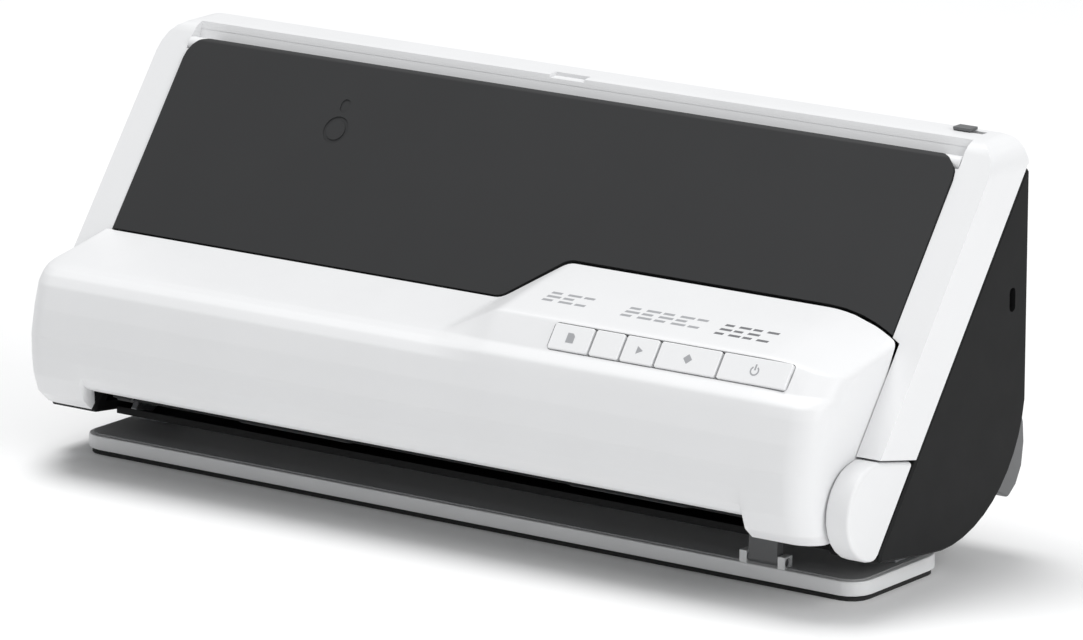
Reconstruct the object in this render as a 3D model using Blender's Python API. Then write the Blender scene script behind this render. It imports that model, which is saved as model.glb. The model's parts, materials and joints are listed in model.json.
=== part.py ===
"""Compact sheet fed document scanner that leans back on a low stand.

Lengths in the tables and functions are millimetres and become metres when a mesh is made.
x runs along the feed width, y backwards from the stand's front edge, z up from the desk.
The slanted tray plane has its own axes: s runs up the slope from the tray's lower edge,
and h stands out of the slope towards the front.
"""
import math

import bmesh
import bpy
from mathutils import Vector

MM = 0.001
GAP = 0.35                 # clearance between neighbouring pieces

# ---- driving dimensions ----
HALF_WIDTH = 149.0         # outer faces of the side panels
FRONT_Y = -26.6            # foremost line of the front cover
REAR_Y = 75.5              # rearmost line of the rear rest bar
MID_Y = (FRONT_Y + REAR_Y) / 2
TOP_Z = 122.0              # top strip of the upper frame
BACK_Y = 71.5              # back wall
SLOPE = math.radians(53.41)
SLOPE_FOOT = (13.96, 66.13)
TRAY_LENGTH = 65.6
TRAY_HALF = 137.7
PANEL_RISE = 14.5          # how far the raised control panel climbs the slope
TILT_AXIS = (30.0, 52.0)
SHELL_RADIUS = 41.5        # underside, concentric with the tilt axis
BODY_HALF = 131.0          # rear housing between the side panels
RIM_HALF = 138.3           # inner edge of the upper frame's side rims
COVER_HALF = 140.5
COVER_CORNER = 9.0         # plan rounding of the front cover's two corners
COVER_WALL = 2.2
COVER_INNER_HALF = 137.7   # inside of the front cover's end walls
COVER_HINGE = (-4.5, 29.0)
CAPS = {-1: (145.5, 10.5), 1: (HALF_WIDTH, 14.0)}   # outer face and front radius of each hinge cap
TRAY_HINGE_S = 63.4
TRAY_HINGE_H = -2.2
TRAY_CORNER = 8.0
TRAY_HEAD_R = 2.25         # rounded head about the tray's hinge line
TRAY_PIN_R = 0.95
FRAME_X = 116.0            # inner face of the steel side frames
SUPPORT_ANGLE = math.radians(7.85)
SUPPORT_FOOT = (-1.8, -13.5)
SUPPORT_LENGTH = 59.0
STAND_HALF = 140.2
STAND_DEPTH = 43.6
STAND_TOP = 6.0
BUTTON_EDGES = (45.3, 59.8, 70.4, 82.2, 103.4, 127.4)
BUTTON_FACE_H = 23.75
BUTTON_S = (-21.4, -12.7)
LEVER_PIVOT = (2.2, 7.6)   # (y, z) like the other pivots of the stand
# roller and gear axes, as (s, h)
FEED = (-4.0, -19.5)
TRANSPORT = (-19.0, -18.0)
EJECT = (-41.0, -18.0)
SEPARATION = (-5.0, -7.15)
PINCH_TOP = (-19.0, -9.0)
PINCH_LOW = (-41.0, -9.0)
IDLER_TOP = (-13.74, -28.11)
IDLER_LOW = (-30.0, -18.0)
MOTOR = (-9.0, -36.3)
FEED_R = 6.5
DRIVE_R = 5.0
PINCH_R = 3.6
SEPARATION_R = 5.5
PINION_U = 24.0            # guide pinion's place up the paper support

COLOURS = {
    "white_shell": ((0.86, 0.87, 0.88, 1), 0.45, 0.0),
    "dark_shell": ((0.035, 0.036, 0.038, 1), 0.5, 0.0),
    "tray_grey": ((0.055, 0.056, 0.058, 1), 0.5, 0.0),
    "stand_grey": ((0.42, 0.43, 0.44, 1), 0.45, 0.0),
    "rubber": ((0.02, 0.02, 0.02, 1), 0.85, 0.0),
    "steel": ((0.55, 0.56, 0.58, 1), 0.35, 1.0),
    "inner_black": ((0.02, 0.02, 0.022, 1), 0.6, 0.0),
    "gear_black": ((0.03, 0.03, 0.032, 1), 0.5, 0.0),
    "board_green": ((0.02, 0.12, 0.05, 1), 0.5, 0.0),
    "glass": ((0.55, 0.62, 0.62, 1), 0.1, 0.0),
    "lever_grey": ((0.16, 0.165, 0.17, 1), 0.5, 0.0),
}


# ---- frames and outlines ----
def slope(s, h):
    """Point (y, z) at s up the slope and h in front of it."""
    y = SLOPE_FOOT[0] + s * math.cos(SLOPE) - h * math.sin(SLOPE)
    z = SLOPE_FOOT[1] + s * math.sin(SLOPE) + h * math.cos(SLOPE)
    return (y, z)


def height(point):
    """h of a (y, z) point."""
    return (SLOPE_FOOT[0] - point[0]) * math.sin(SLOPE) + (point[1] - SLOPE_FOOT[1]) * math.cos(SLOPE)


def slide_to_height(a, b, h):
    """The point on the line from a to b that stands h in front of the slope."""
    t = (h - height(a)) / (height(b) - height(a))
    return (a[0] + (b[0] - a[0]) * t, a[1] + (b[1] - a[1]) * t)


def support(u, v):
    """Point (y, z) at u up the paper support and v above its face."""
    s = SUPPORT_FOOT[0] + u * math.cos(SUPPORT_ANGLE) - v * math.sin(SUPPORT_ANGLE)
    h = SUPPORT_FOOT[1] + u * math.sin(SUPPORT_ANGLE) + v * math.cos(SUPPORT_ANGLE)
    return slope(s, h)


def on_slope(points):
    return [slope(s, h) for s, h in points]


def slope_box(s0, s1, h0, h1):
    return on_slope([(s0, h0), (s1, h0), (s1, h1), (s0, h1)])


def support_box(u0, u1, v0, v1):
    return [support(u, v) for u, v in ((u0, v0), (u1, v0), (u1, v1), (u0, v1))]


def box_outline(a0, a1, b0, b1):
    return [(a0, b0), (a1, b0), (a1, b1), (a0, b1)]


def arc(centre, radius, start, end, steps):
    """Points on an arc from start to end degrees."""
    points = []
    for i in range(steps + 1):
        a = math.radians(start + (end - start) * i / steps)
        points.append((centre[0] + radius * math.cos(a), centre[1] + radius * math.sin(a)))
    return points


def ring_outline(centre, radius, count):
    return arc(centre, radius, 0, 360 - 360 / count, count - 1)


def toothed_outline(centre, teeth, root, tip):
    points = []
    for i in range(teeth):
        for part, radius in ((0.0, root), (0.3, tip), (0.55, tip), (0.85, root)):
            a = math.tau * (i + part) / teeth
            points.append((centre[0] + radius * math.cos(a), centre[1] + radius * math.sin(a)))
    return points


def rounded_box(a0, a1, b0, b1, r, steps=4):
    centres = ((a1 - r, b1 - r), (a0 + r, b1 - r), (a0 + r, b0 + r), (a1 - r, b0 + r))
    points = []
    for i, centre in enumerate(centres):
        points += arc(centre, r, 90 * i, 90 * i + 90, steps)
    return points


def offset_path(points, distance):
    """The open path moved sideways, to the left of its direction, with mitred corners."""
    moved = []
    for i, (y, z) in enumerate(points):
        before = points[max(i - 1, 0)]
        after = points[min(i + 1, len(points) - 1)]
        d0 = Vector((y - before[0], z - before[1]))
        d1 = Vector((after[0] - y, after[1] - z))
        d0 = d0.normalized() if d0.length else d1.normalized()
        d1 = d1.normalized() if d1.length else d0
        n0 = Vector((-d0.y, d0.x))
        n1 = Vector((-d1.y, d1.x))
        mitre = (n0 + n1).normalized()
        reach = distance / max(mitre.dot(n0), 0.25)
        moved.append((y + mitre.x * reach, z + mitre.y * reach))
    return moved


def inset(outline, distance):
    """A closed anticlockwise outline moved inwards."""
    path = [outline[-1]] + list(outline) + [outline[0]]
    return offset_path(path, distance)[1:-1]


# ---- meshes ----
def material(name):
    mat = bpy.data.materials.get(name)
    if mat:
        return mat
    colour, roughness, metallic = COLOURS[name]
    mat = bpy.data.materials.new(name)
    mat.use_nodes = True
    shader = mat.node_tree.nodes["Principled BSDF"]
    shader.inputs["Base Color"].default_value = colour
    shader.inputs["Roughness"].default_value = roughness
    shader.inputs["Metallic"].default_value = metallic
    return mat


def metres(x, y, z):
    return Vector((x * MM, (y - MID_Y) * MM, z * MM))


def prism(bm, outline, x0, x1):
    """A (y, z) outline extruded along x."""
    face = bm.faces.new([bm.verts.new(metres(x0, y, z)) for y, z in outline])
    extrude(bm, face, Vector(((x1 - x0) * MM, 0, 0)))


def slab(bm, outline, z0, z1):
    """An (x, y) outline extruded upwards."""
    face = bm.faces.new([bm.verts.new(metres(x, y, z0)) for x, y in outline])
    extrude(bm, face, Vector((0, 0, (z1 - z0) * MM)))


def slope_slab(bm, outline, h0, h1, frame=slope):
    """An (x, s) outline extruded across the slope from h0 to h1."""
    face = bm.faces.new([bm.verts.new(metres(x, *frame(s, h0))) for x, s in outline])
    step = Vector(metres(0, *frame(0, h1))) - Vector(metres(0, *frame(0, h0)))
    extrude(bm, face, step)


def extrude(bm, face, step):
    grown = bmesh.ops.extrude_face_region(bm, geom=[face])
    verts = [item for item in grown["geom"] if isinstance(item, bmesh.types.BMVert)]
    bmesh.ops.translate(bm, verts=verts, vec=step)


def lathe(bm, centre, profile, segments, bore=False):
    """A profile of (x, radius) turned about the x line through centre."""
    rings = []
    for x, r in profile:
        if r == 0:
            rings.append([bm.verts.new(metres(x, *centre))])
        else:
            rings.append([bm.verts.new(metres(x, y, z)) for y, z in ring_outline(centre, r, segments)])
    pairs = list(zip(rings, rings[1:]))
    if bore:
        pairs.append((rings[-1], rings[0]))
    for a, b in pairs:
        for i in range(segments):
            j = (i + 1) % segments
            quad = [a[i % len(a)], a[j % len(a)], b[j % len(b)], b[i % len(b)]]
            bm.faces.new(list(dict.fromkeys(quad)))


def piece(name, bm, mat, origin=(0, MID_Y, 0), smooth=False):
    """A named object made from bm, with its origin where its joint is."""
    bmesh.ops.recalc_face_normals(bm, faces=bm.faces)
    place = metres(*origin)
    bmesh.ops.translate(bm, verts=bm.verts, vec=-place)
    mesh = bpy.data.meshes.new(name)
    bm.to_mesh(mesh)
    bm.free()
    obj = bpy.data.objects.new(name, mesh)
    obj.location = place
    bpy.context.scene.collection.objects.link(obj)
    obj.data.materials.append(material(mat))
    if smooth:
        mesh.shade_smooth()
        mesh.set_sharp_from_angle(angle=math.radians(35))
    return obj


def simple(name, mat, outline, x0, x1, **keys):
    bm = bmesh.new()
    prism(bm, outline, x0, x1)
    return piece(name, bm, mat, **keys)


def turned(name, mat, centre, profile, segments=20, bore=False):
    bm = bmesh.new()
    lathe(bm, centre, profile, segments, bore)
    return piece(name, bm, mat, origin=(0, *centre), smooth=True)


def tool(name, build):
    """A helper solid for a Boolean, drawn as wire and never rendered."""
    bm = bmesh.new()
    build(bm)
    obj = piece(name, bm, "steel")
    obj.hide_render = True
    obj.display_type = "WIRE"
    return obj


def combine(obj, operation, build):
    """Cuts, joins or intersects obj with the solid that build makes."""
    helper = tool(obj.name + "_" + operation.lower() + "_%d" % len(obj.modifiers), build)
    mod = obj.modifiers.new(operation.lower(), "BOOLEAN")
    mod.operation = operation
    mod.solver = "EXACT"
    mod.object = helper


def cut(obj, build):
    combine(obj, "DIFFERENCE", build)


def join(obj, build):
    combine(obj, "UNION", build)


def soften(obj, width, segments=2, angle=40):
    """Rounds the sharp edges by width millimetres."""
    mod = obj.modifiers.new("edge_rounding", "BEVEL")
    mod.width = width * MM
    mod.segments = segments
    mod.limit_method = "ANGLE"
    mod.angle_limit = math.radians(angle)
    mod.harden_normals = False


def mirror_span(side, a, b):
    """The x span from a to b on the given side, -1 for left and 1 for right."""
    return (a * side, b * side)


# ---- stand ----
def make_stand_plate():
    bm = bmesh.new()
    slab(bm, rounded_box(-STAND_HALF, STAND_HALF, 0, STAND_DEPTH, 7), 1.5, STAND_TOP)
    plate = piece("stand_plate", bm, "stand_grey")
    soften(plate, 0.7)
    for x0 in (99.6, 112.6):
        join(plate, lambda bm, x=x0: prism(bm, box_outline(0.4, 4.2, 5.0, 9.4), x, x + 2.4))
    cut(plate, lambda bm: lathe(bm, LEVER_PIVOT, [(98, 0), (98, 1.5), (116, 1.5), (116, 0)], 12))


def make_base_ring():
    bm = bmesh.new()
    slab(bm, rounded_box(-STAND_HALF + 1, STAND_HALF - 1, 1, STAND_DEPTH - 1, 6), 0, 1.2)
    ring = piece("rubber_base_ring", bm, "rubber")
    inner = rounded_box(-STAND_HALF + 9, STAND_HALF - 9, 9, STAND_DEPTH - 9, 3)
    cut(ring, lambda bm: slab(bm, inner, -1, 3))


def make_tilt_bracket(side, word):
    round_top = arc(TILT_AXIS, 6.5, 0, 180, 8)
    waist = [(24.9, 47.4), (24.9, 40), (23.5, 36)]
    outline = [(23.5, STAND_TOP + GAP), (36.5, STAND_TOP + GAP)] + round_top + waist
    bracket = simple("tilt_bracket_" + word, "steel", outline, *mirror_span(side, 134, 137))
    foot = box_outline(22, 38, STAND_TOP + GAP, STAND_TOP + 2.2)
    join(bracket, lambda bm: prism(bm, foot, *mirror_span(side, 125, 135)))
    hole = [(132 * side, 0), (132 * side, 3.3), (139 * side, 3.3), (139 * side, 0)]
    cut(bracket, lambda bm: lathe(bm, TILT_AXIS, hole, 16))


def make_tilt_pin(side, word):
    profile = [(132, 0), (132, 4.5), (133.6, 4.5), (133.6, 3), (145.6, 3), (145.6, 0)]
    turned("tilt_pin_" + word, "steel", TILT_AXIS, [(x * side, r) for x, r in profile], 16)


def make_position_lever():
    outline = [(0.6, 7.6)] + arc(LEVER_PIVOT, 1.5, 200, 340, 4)
    outline += [(3.8, 7.6), (3.4, 17.6), (2.6, 18.8), (1.2, 18.8)]
    lever = simple("position_lever", "lever_grey", outline, 102.4, 112.2, origin=(107.3, *LEVER_PIVOT))
    pivot = [(100.2, 0), (100.2, 1.15), (114.4, 1.15), (114.4, 0)]
    join(lever, lambda bm: lathe(bm, LEVER_PIVOT, pivot, 12))


# ---- leaning body: casings ----
def panel_outline():
    """Dark side panel seen from the side, anticlockwise."""
    shell = arc(TILT_AXIS, SHELL_RADIUS, -98, -8.5, 12)
    return [(-2.6, 14.0)] + shell + [(BACK_Y, 112.2), (70.4, 113.0), (-2.2, 16.4)]


def make_side_panel(side, word):
    outline = panel_outline()
    panel = simple("side_panel_" + word, "dark_shell", outline, *mirror_span(side, 131.4, HALF_WIDTH))
    soften(panel, 0.8, segments=1)
    cavity = inset([(-2.2, 14.9)] + arc(TILT_AXIS, SHELL_RADIUS, -98, -8.5, 12) + [(BACK_Y, 113.6)], 2.4)
    cut(panel, lambda bm: prism(bm, cavity, *mirror_span(side, 128, 146.5)))
    boss = [(139 * side, 0), (139 * side, 4.4), (147 * side, 4.4), (147 * side, 0)]
    join(panel, lambda bm: lathe(bm, TILT_AXIS, boss, 16))
    hole = [(137 * side, 0), (137 * side, 3.3), (146.2 * side, 3.3), (146.2 * side, 0)]
    cut(panel, lambda bm: lathe(bm, TILT_AXIS, hole, 16))
    sweep = arc(TILT_AXIS, 33, -104, -55, 6) + arc(TILT_AXIS, 46, -55, -104, 6)
    head = [(130 * side, 0), (130 * side, 7.9), (138.4 * side, 7.9), (138.4 * side, 0)]

    def bracket_room(bm):
        prism(bm, sweep, *mirror_span(side, 130, 138.4))
        lathe(bm, TILT_AXIS, head, 20)
    cut(panel, bracket_room)
    if side > 0:
        cut(panel, lambda bm: prism(bm, rounded_box(61.8, 64.8, 72.7, 79.7, 1.4, 3), 144, 151))


def make_rear_housing():
    outer = [(6.5, 12.0)] + arc(TILT_AXIS, SHELL_RADIUS, -98, -8.5, 12) + [(BACK_Y, 113.6)]
    inner = offset_path(outer, 2.2)
    housing = simple("rear_housing", "dark_shell", outer + inner[::-1], -BODY_HALF, BODY_HALF)
    cut(housing, lambda bm: prism(bm, box_outline(0, 26, 4, 20), 99, 116))
    for x0, x1 in ((-124.0, -110.0), (-100.0, -87.0)):
        cut(housing, lambda bm, a=x0, b=x1: prism(bm, box_outline(66, 75, 62, 74), a, b))

    def vents(bm):
        for x in range(20, 93, 9):
            prism(bm, box_outline(66, 75, 84, 100), x, x + 3)
    cut(housing, vents)


def make_upper_frame():
    """White surround: top strip, side rims and the front web around the tray."""
    low_front = (-2.8, 43.6)
    low_rear = (15.0, 40.0)
    top_arc = arc((60.4, TOP_Z - 8), 8, 143.4, 90, 3)
    rear = [(70.3, TOP_Z), (71.2, TOP_Z - 0.9), (71.2, 114.2), (70.2, 113.8)]
    outline = [low_rear, low_front] + top_arc + rear
    bm = bmesh.new()
    prism(bm, outline[::-1], -HALF_WIDTH, HALF_WIDTH)
    frame = piece("upper_frame", bm, "white_shell")

    def silhouette(bm):
        rounded = arc((140, TOP_Z - 9), 9, 0, 90, 5) + arc((-140, TOP_Z - 9), 9, 90, 180, 5)
        rounded += [(-HALF_WIDTH, 20), (HALF_WIDTH, 20)]
        face = bm.faces.new([bm.verts.new(metres(x, -30, z)) for x, z in rounded])
        extrude(bm, face, Vector((0, 0.13, 0)))
    combine(frame, "INTERSECT", silhouette)

    # everything behind the front web, below the top strip and in front of the back lip
    hollow = [slope(-45, -2.4), slope(64.9, -2.4), (56.5, 118.0), (57.0, 119.6), (68.8, 119.6)]
    hollow += [(68.8, 114.1), (80, 114.1), (80, 60), (30, 20)]
    cut(frame, lambda bm: prism(bm, hollow, -RIM_HALF, RIM_HALF))
    side_hollow = [slope(-45, -2.4), slope(60, -2.4), (54, 112.5), (68.8, 112.5), (68.8, 95), (30, 20)]
    for side in (-1, 1):
        cut(frame, lambda bm, s=side: prism(bm, side_hollow, *mirror_span(s, RIM_HALF - 0.5, 146.8)))

    # window for the tray, wider below it where the front cover's end walls swing
    half = TRAY_HALF + GAP
    corner_x = TRAY_HALF - TRAY_CORNER
    corner_s = TRAY_LENGTH - TRAY_CORNER
    window = [(-COVER_HALF - GAP, -45), (-COVER_HALF - GAP, -2), (-half, -2)]
    window += arc((-corner_x, corner_s), TRAY_CORNER + GAP, 180, 90, 5)
    window += arc((corner_x, corner_s), TRAY_CORNER + GAP, 90, 0, 5)
    window += [(half, 8.25), (COVER_HALF + GAP, 6.85), (COVER_HALF + GAP, -45)]
    cut(frame, lambda bm: slope_slab(bm, window, -4.5, 5))
    # the strip's front face leans like the open tray
    lean = [slope(64.9, 6), slope(64.9, -3.5), (56.6, 115.5), (59.6, 124)]
    cut(frame, lambda bm: prism(bm, lean, -RIM_HALF, RIM_HALF))
    # gutter under the tray's rounded head, and a finger notch in the strip
    gutter = [slope(60.6, -4.95), slope(63.4, -4.95), (56.35, 115.2), (58.25, 119.9), (59.9, 119.9)]
    gutter += [(57.7, 114.6), slope(63.0, -6.2), slope(60.6, -6.2)]
    join(frame, lambda bm: prism(bm, gutter, -RIM_HALF - 0.2, RIM_HALF + 0.2))
    cut(frame, lambda bm: prism(bm, box_outline(56, 62, 120.9, 124), -9, 3.5))
    boss = slope_box(60.2, 65.8, -5.4, -0.9)
    pivot = slope(TRAY_HINGE_S, TRAY_HINGE_H)
    for side in (-1, 1):
        join(frame, lambda bm, s=side: prism(bm, boss, *mirror_span(s, 138.6, 143)))
        bore = TRAY_PIN_R + 0.3
        hole = [(131, 0), (131, bore), (142.2, bore), (142.2, 0)]
        room = TRAY_HEAD_R + 0.5
        relief = [(129, 0), (129, room), (RIM_HALF + 0.05, room), (RIM_HALF + 0.05, 0)]
        for profile, segments in ((hole, 12), (relief, 24)):
            turned_hole = [(x * side, r) for x, r in profile]
            cut(frame, lambda bm, h=turned_hole, n=segments: lathe(bm, pivot, h, n))
    cut(frame, lambda bm: prism(bm, box_outline(65.2, 67.8, 117, 124), 127, 137))


def make_hinge_cap(side, word):
    face_x, radius = CAPS[side]
    round_front = arc(COVER_HINGE, radius, 104, 268, 12)
    outline = [(14.2, 39.5), (-4.4, 43.3)] + round_front + [(-3.1, 16.3)]
    cap = simple("hinge_cap_" + word, "white_shell", outline, *mirror_span(side, 140.9, face_x))
    soften(cap, 1.2)
    stub = [(x * side, r) for x, r in ((137.4, 0), (137.4, 2.6), (142.5, 2.6), (142.5, 0))]
    join(cap, lambda bm: lathe(bm, COVER_HINGE, stub, 16))


def make_rear_rest_bar():
    back = [(71.9, 46), (75.0, 38), (REAR_Y, 32), (74.4, 25), (71.5, 20), (67.5, 17)]
    hug = arc(TILT_AXIS, SHELL_RADIUS + GAP, -47, -12, 5)
    simple("rear_rest_bar", "lever_grey", back + hug, -146, 146)


# ---- leaning body: chassis and paper path ----
def make_side_frame(side, word):
    outline = on_slope([(-49, -15.8), (-46, -23.5), (-8, -43), (14, -34), (14, -16.5), (-6, -15.8)])
    frame = simple("side_frame_" + word, "steel", outline, *mirror_span(side, FRAME_X, FRAME_X + 2))

    def holes(bm):
        for centre, radius in ((FEED, 3.3), (TRANSPORT, 2.8), (EJECT, 2.8)):
            profile = [(112 * side, 0), (112 * side, radius), (122 * side, radius), (122 * side, 0)]
            lathe(bm, slope(*centre), profile, 16)
        if side < 0:
            profile = [(-112, 0), (-112, 4), (-122, 4), (-122, 0)]
            lathe(bm, slope(*MOTOR), profile, 12)
    cut(frame, holes)
    if side < 0:
        for centre in (IDLER_TOP, IDLER_LOW):
            stud = [(-117, 0), (-117, 1.5), (-128, 1.5), (-128, 0)]
            join(frame, lambda bm, c=centre, p=stud: lathe(bm, slope(*c), p, 12))


def make_paper_support():
    plate = simple("paper_support", "inner_black", support_box(0, SUPPORT_LENGTH, -1.8, 0), -137.4, 137.4)

    def slots(bm):
        prism(bm, support_box(-3, 5.5, -5, 3), -26, 26)
        prism(bm, support_box(-3, 6.0, -5, 3), -129, -119)
        for side in (-1, 1):
            prism(bm, support_box(22.2, 25.8, -5, 3), *mirror_span(side, 27, 111))
            prism(bm, support_box(-3, 14, -5, 3), *mirror_span(side, 130.8, 140))
    cut(plate, slots)

    def stud(bm):
        slope_slab(bm, ring_outline((0, PINION_U), 1.5, 12), -5.2, -0.9, frame=support)
    join(plate, stud)


def make_rear_guide():
    plate = simple("rear_guide_plate", "inner_black", slope_box(-47, -2.6, -14.8, -13.6), -115.4, 115.4)

    def windows(bm):
        prism(bm, slope_box(-9.4, 2, -18, -10), -26, 26)
        prism(bm, slope_box(-35.4, -24.6, -18, -10), -112, 112)
        for side in (-1, 1):
            for centre in (TRANSPORT, EJECT):
                prism(bm, slope_box(centre[0] - 4.5, centre[0] + 4.5, -18, -10), *mirror_span(side, 38, 82))
    cut(plate, windows)


def make_sensor(word, h_glass, h_back):
    """Contact image sensor bar with its glass; h_glass is the glass face, h_back the far side."""
    grow = 1 if h_back > h_glass else -1
    low, high = sorted((h_glass + 0.95 * grow, h_back))
    simple(word + "_sensor_bar", "inner_black", slope_box(-35, -25, low, high), -111, 111)
    low, high = sorted((h_glass, h_glass + 0.6 * grow))
    simple(word + "_sensor_glass", "glass", slope_box(-34.6, -25.4, low, high), -111, 111)


def make_roller_set(word, centre, shaft_r, roller_r, spans):
    place = slope(*centre)
    shaft = [(-129.2, 0), (-129.2, shaft_r), (119.4, shaft_r), (119.4, 0)]
    turned(word + "_shaft", "steel", place, shaft, 16)
    for side, side_word in ((-1, "left"), (1, "right")):
        x0, x1 = spans
        bore = shaft_r + GAP
        profile = [(x0 * side, bore), (x0 * side, roller_r), (x1 * side, roller_r), (x1 * side, bore)]
        turned(word + "_roller_" + side_word, "rubber", place, profile, 24, bore=True)


def make_gear(name, centre, pitch_r, bore_r, x0=-120.6, x1=-127):
    """A toothed wheel; its tip circle stays just inside the pitch circle of its neighbour."""
    teeth = max(8, round(pitch_r * 2.2))
    outline = toothed_outline(slope(*centre), teeth, pitch_r - 1.3, pitch_r - 0.15)
    gear = simple(name, "gear_black", outline, x0, x1, origin=(0, *slope(*centre)))
    hole = [(-118.5, 0), (-118.5, bore_r), (-131, bore_r), (-131, 0)]
    cut(gear, lambda bm: lathe(bm, slope(*centre), hole, 16))


def make_drive():
    make_roller_set("feed", FEED, 3.0, FEED_R, (6, 24))
    make_roller_set("transport", TRANSPORT, 2.5, DRIVE_R, (40, 80))
    make_roller_set("eject", EJECT, 2.5, DRIVE_R, (40, 80))
    make_gear("feed_gear", FEED, 7.0, 3.0 + GAP)
    make_gear("transport_gear", TRANSPORT, 5.4, 2.5 + GAP)
    make_gear("eject_gear", EJECT, 5.4, 2.5 + GAP)
    make_gear("upper_idler_gear", IDLER_TOP, 6.0, 1.5 + GAP)
    make_gear("lower_idler_gear", IDLER_LOW, 5.6, 1.5 + GAP)
    place = slope(*MOTOR)
    motor = [(-115.6, 0), (-115.6, 10.4), (-88, 10.4), (-86, 8), (-86, 0)]
    turned("drive_motor", "steel", place, motor, 20)
    pinion = [(-115.95, 0), (-115.95, 1.6), (-120.6, 1.6), (-120.6, 3.2), (-127, 3.2), (-127, 0)]
    turned("motor_pinion", "gear_black", place, pinion, 12)


def make_electronics():
    simple("main_board", "board_green", box_outline(64.5, 66.1, 58, 106), -70, 100)
    block = box_outline(58, 71.3, 62.5, 73.5)
    inlet = simple("power_inlet", "inner_black", block, -123.5, -110.5)
    usb = simple("usb_port", "steel", block, -99.5, -87.5)

    def round_socket(bm):
        ring = ring_outline((-117, 68), 3, 16)
        face = bm.faces.new([bm.verts.new(metres(x, 62, z)) for x, z in ring])
        extrude(bm, face, Vector((0, 0.012, 0)))
    cut(inlet, round_socket)
    cut(usb, lambda bm: prism(bm, box_outline(62, 74, 64, 72), -98, -89))


# ---- edge guides ----
def make_edge_guide(side, word):
    outline = [support(6, 0.3), support(40, 0.3), slope(38.0, -5.2), slope(6.0, -5.2)]
    guide = simple("edge_guide_" + word, "lever_grey", outline, *mirror_span(side, 108.4, 110.4))
    join(guide, lambda bm: prism(bm, support_box(6, 40, 0.3, 1.3), *mirror_span(side, 98, 109)))
    join(guide, lambda bm: prism(bm, support_box(22.6, 25.4, -4.2, 1.0), *mirror_span(side, 104, 110)))
    if side > 0:
        link, rack = support_box(16.0, 24.0, -4.2, -2.2), support_box(16.0, 18.4, -4.2, -2.2)
    else:
        link, rack = support_box(24.0, 32.0, -4.2, -2.2), support_box(29.6, 32.0, -4.2, -2.2)
    join(guide, lambda bm: prism(bm, link, *mirror_span(side, 104.5, 109.5)))
    join(guide, lambda bm: prism(bm, rack, *mirror_span(side, -6, 108)))


def make_guide_pinion():
    bm = bmesh.new()
    slope_slab(bm, toothed_outline((0, PINION_U), 12, 4.3, 5.2), -4.2, -2.2, frame=support)
    pinion = piece("guide_pinion", bm, "gear_black", origin=(0, *support(PINION_U, -3.2)))
    hole = ring_outline((0, PINION_U), 1.85, 12)
    cut(pinion, lambda bm: slope_slab(bm, hole, -6, 0, frame=support))


# ---- tray ----
def panel_weight(x):
    """How much of the raised control panel is present at x, from 0 to 1."""
    if x <= 6.5:
        return 0.0
    if x < 24.7:
        return (x - 6.5) / 18.2
    if x <= 114:
        return 1.0
    return 1 - 0.42 * ((x - 114) / 24) ** 2


def tray_outline(inset_by=0.0):
    low = 0.35 + inset_by
    half = TRAY_HALF - inset_by
    corner = TRAY_CORNER - inset_by * 0.7
    points = [(-half, low)]
    for x in (5.9, 24.1, 69, 114, 120, 126, 131, 135, TRAY_HALF):
        points.append((min(x, half), low + PANEL_RISE * panel_weight(x + 0.6 if x < 30 else x)))
    points += arc((half - corner, TRAY_LENGTH - inset_by - corner), corner, 0, 90, 5)
    points += arc((corner - half, TRAY_LENGTH - inset_by - corner), corner, 90, 180, 5)
    return points


def make_tray():
    pivot = slope(TRAY_HINGE_S, TRAY_HINGE_H)
    bm = bmesh.new()
    slope_slab(bm, tray_outline(), -4.5, 0)
    tray = piece("tray_cover", bm, "tray_grey", origin=(0, *pivot))
    pocket = [(-134, 4), (2, 4), (22, 19), (130, 19), (130, 58), (-130, 58), (-134, 54)]
    cut(tray, lambda bm: slope_slab(bm, pocket, -6, -1.8))
    # rounded head that turns clear of the top strip
    head = arc((TRAY_HINGE_S, TRAY_HINGE_H), TRAY_HEAD_R, -90, 90, 6)
    keep = on_slope([(-4, 2), (-4, -7), (TRAY_HINGE_S, -7)] + head + [(TRAY_HINGE_S, 2)])
    combine(tray, "INTERSECT", lambda bm: prism(bm, keep, -145, 145))
    for side in (-1, 1):
        stub = [(131 * side, 0), (131 * side, TRAY_PIN_R), (141.6 * side, TRAY_PIN_R), (141.6 * side, 0)]
        join(tray, lambda bm, p=stub: lathe(bm, pivot, p, 12))

    # lower end opening through which the extension slides
    cut(tray, lambda bm: prism(bm, slope_box(-3, 8, -5.5, -2.0), -101, -4))
    bm = bmesh.new()
    plate = [(-100, 2.6), (-5, 2.6), (-5, 56), (-100, 56)]
    slope_slab(bm, plate, -4.3, -2.2)
    piece("tray_extension", bm, "tray_grey")


# ---- front cover ----
def blend_points(a, b, w):
    return [(p[0] + (q[0] - p[0]) * w, p[1] + (q[1] - p[1]) * w) for p, q in zip(a, b)]


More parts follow.
